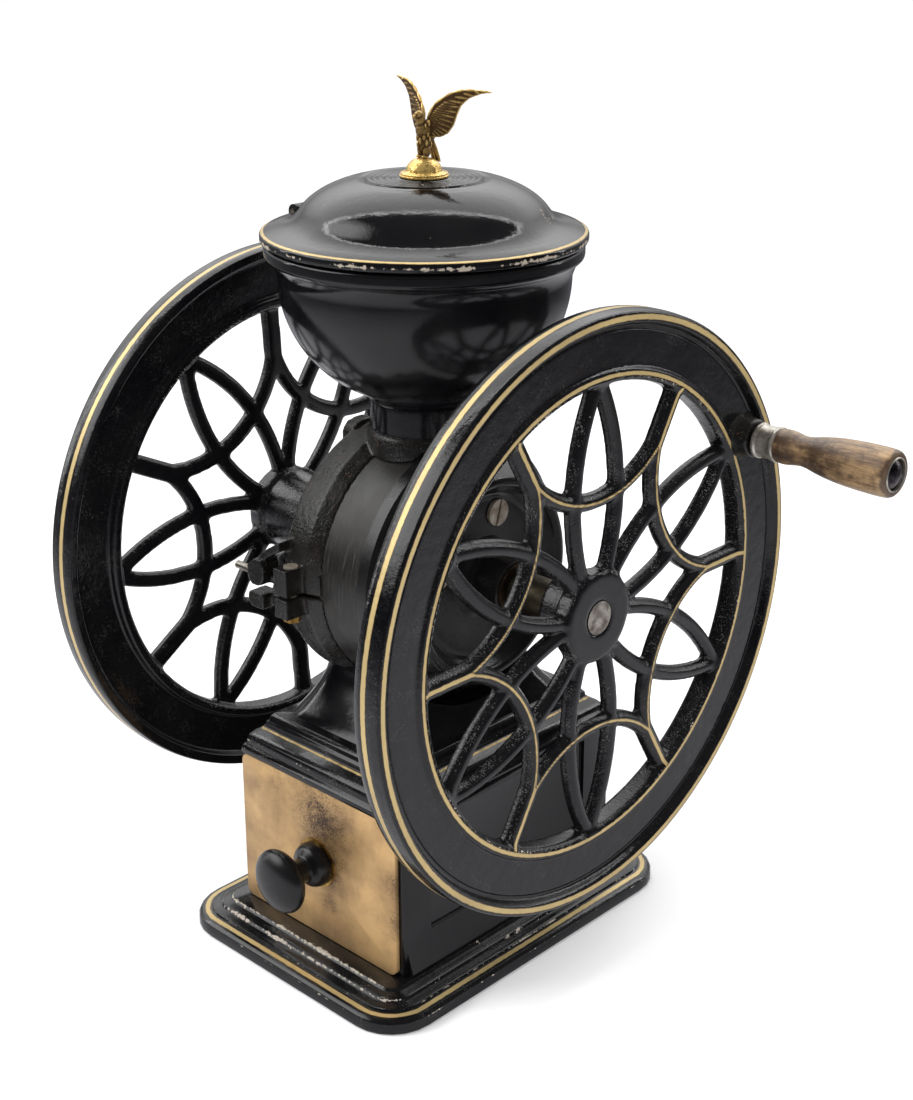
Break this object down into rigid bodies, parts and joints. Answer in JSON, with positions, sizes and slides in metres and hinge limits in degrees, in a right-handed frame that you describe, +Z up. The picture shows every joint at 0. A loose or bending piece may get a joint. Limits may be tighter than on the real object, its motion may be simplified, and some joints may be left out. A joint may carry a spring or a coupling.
{
  "type": "two-wheel counter coffee grinder",
  "caption": "Cast-iron counter coffee grinder with pierced flywheels on one axle, a lidded hopper with a brass bird, a burr drum and a brass-fronted drawer.",
  "frame": {"origin": "centre of the base's underside, on the table and under the middle of the axle", "axes": "+X along the axle towards the wheel with the handle, -Y the side the drawer opens to, +Z up"},
  "size_m": [0.4219, 0.389, 0.5821],
  "materials": {
    "enamel": "gloss black enamel with gold lines",
    "iron": "bare, oiled",
    "steel": "aged",
    "bronze": "dull",
    "brass": "aged, polished on the high places",
    "knob_black": "satin black",
    "wood": "worn, oiled"
  },
  "bodies": {
    "stand": {"base_plate": "enamel", "base_screws": "steel", "drawer_case": "enamel", "case_top": "enamel", "runner_left": "steel", "runner_right": "steel", "pedestal": "enamel", "drum": "enamel", "lower_casing": "enamel", "upper_casing": "enamel", "clamp_screw_front": "steel", "clamp_screw_back": "steel", "clamp_nut_front": "bronze", "clamp_nut_back": "bronze", "lug_pin": "steel", "far_end_bell": "enamel", "near_end_cover": "enamel", "cover_screw_1": "steel", "cover_screw_2": "steel", "cover_screw_3": "steel", "fixed_burr": "iron", "near_bush": "bronze", "far_bush": "bronze", "hopper_bowl": "enamel", "hinge_pin": "steel"},
    "rotor": {"axle": "steel", "turning_burr": "iron", "feed_worm": "iron", "worm_pin": "steel", "near_flywheel": "enamel", "far_flywheel": "enamel", "near_hub_pin": "steel", "far_hub_pin": "steel", "near_sleeve": "bronze", "far_sleeve": "bronze", "handle_rod": "steel", "rod_nut": "steel"},
    "grip": {"ferrule": "steel", "grip": "wood"},
    "lid": {"lid": "enamel", "bird_foot": "brass", "bird": "brass", "foot_nut": "steel"},
    "drawer": {"drawer_tray": "steel", "drawer_front": "brass", "drawer_knob": "knob_black", "knob_ring": "brass", "knob_screw": "steel"},
    "adjuster": {"adjusting_nut": "enamel"}
  },
  "joints": [
    {"name": "wheel_turn", "type": "hinge", "parent": "stand", "child": "rotor", "pos_m": [0, 0, 0.265], "axis": [1, 0, 0], "continuous": true},
    {"name": "grip_turn", "type": "hinge", "parent": "rotor", "child": "grip", "pos_m": [0.2, 0.14679, 0.34975], "axis": [1, 0, 0], "continuous": true},
    {"name": "lid_hinge", "type": "hinge", "parent": "stand", "child": "lid", "pos_m": [-0.114, 0, 0.4858], "axis": [0, -1, 0], "range_deg": [0, 105]},
    {"name": "drawer_slide", "type": "slide", "parent": "stand", "child": "drawer", "axis": [0, -1, 0], "range_m": [0, 0.15]},
    {"name": "adjuster_turn", "type": "hinge", "parent": "stand", "child": "adjuster", "pos_m": [-0.075, 0, 0.265], "axis": [1, 0, 0], "range_deg": [-180, 180]}
  ]
}
